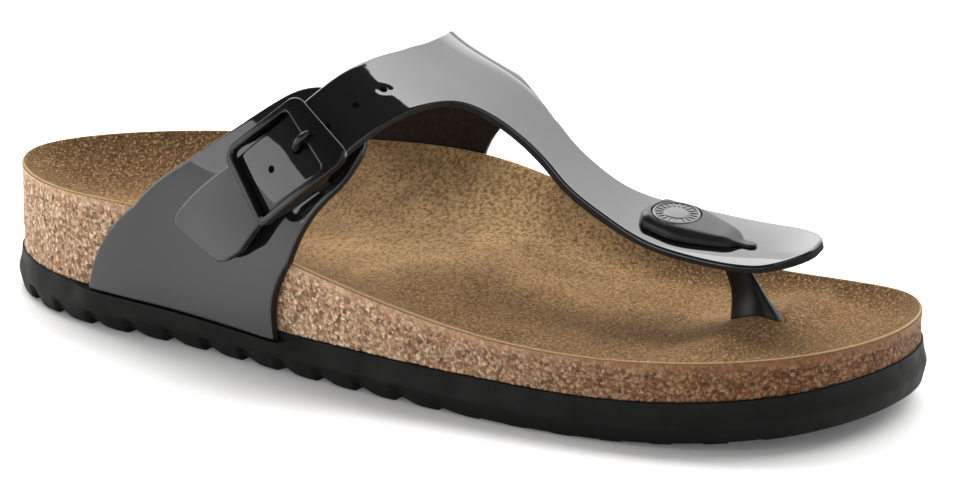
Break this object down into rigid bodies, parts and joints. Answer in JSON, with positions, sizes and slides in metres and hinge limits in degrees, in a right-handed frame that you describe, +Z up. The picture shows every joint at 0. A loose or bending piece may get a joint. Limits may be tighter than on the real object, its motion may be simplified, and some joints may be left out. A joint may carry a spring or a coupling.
{
  "type": "toe post sandal",
  "caption": "Right-foot thong sandal with a contoured cork footbed, T-shaped patent strap, side buckle and toe post on a lugged sole.",
  "frame": {"origin": "middle of the footprint, on the floor under the sole", "axes": "+X towards the outer side of the right foot, +Y towards the toe, +Z up"},
  "size_m": [0.0984, 0.257, 0.0772],
  "materials": {
    "outsole_rubber": "matte moulded foam rubber",
    "cork": "granular pressed cork",
    "suede": "napped suede",
    "patent_leather": "glossy patent coat",
    "hardware": "satin black",
    "post_moulding": "soft satin moulding"
  },
  "bodies": {
    "root": {"outsole": "outsole_rubber", "cork_footbed": "cork", "footbed_lining": "suede", "lateral_quarter": "patent_leather", "upper_strap": "patent_leather", "buckle_frame": "hardware", "buckle_prong": "hardware", "toe_post": "post_moulding", "toe_post_button": "hardware"}
  },
  "joints": []
}
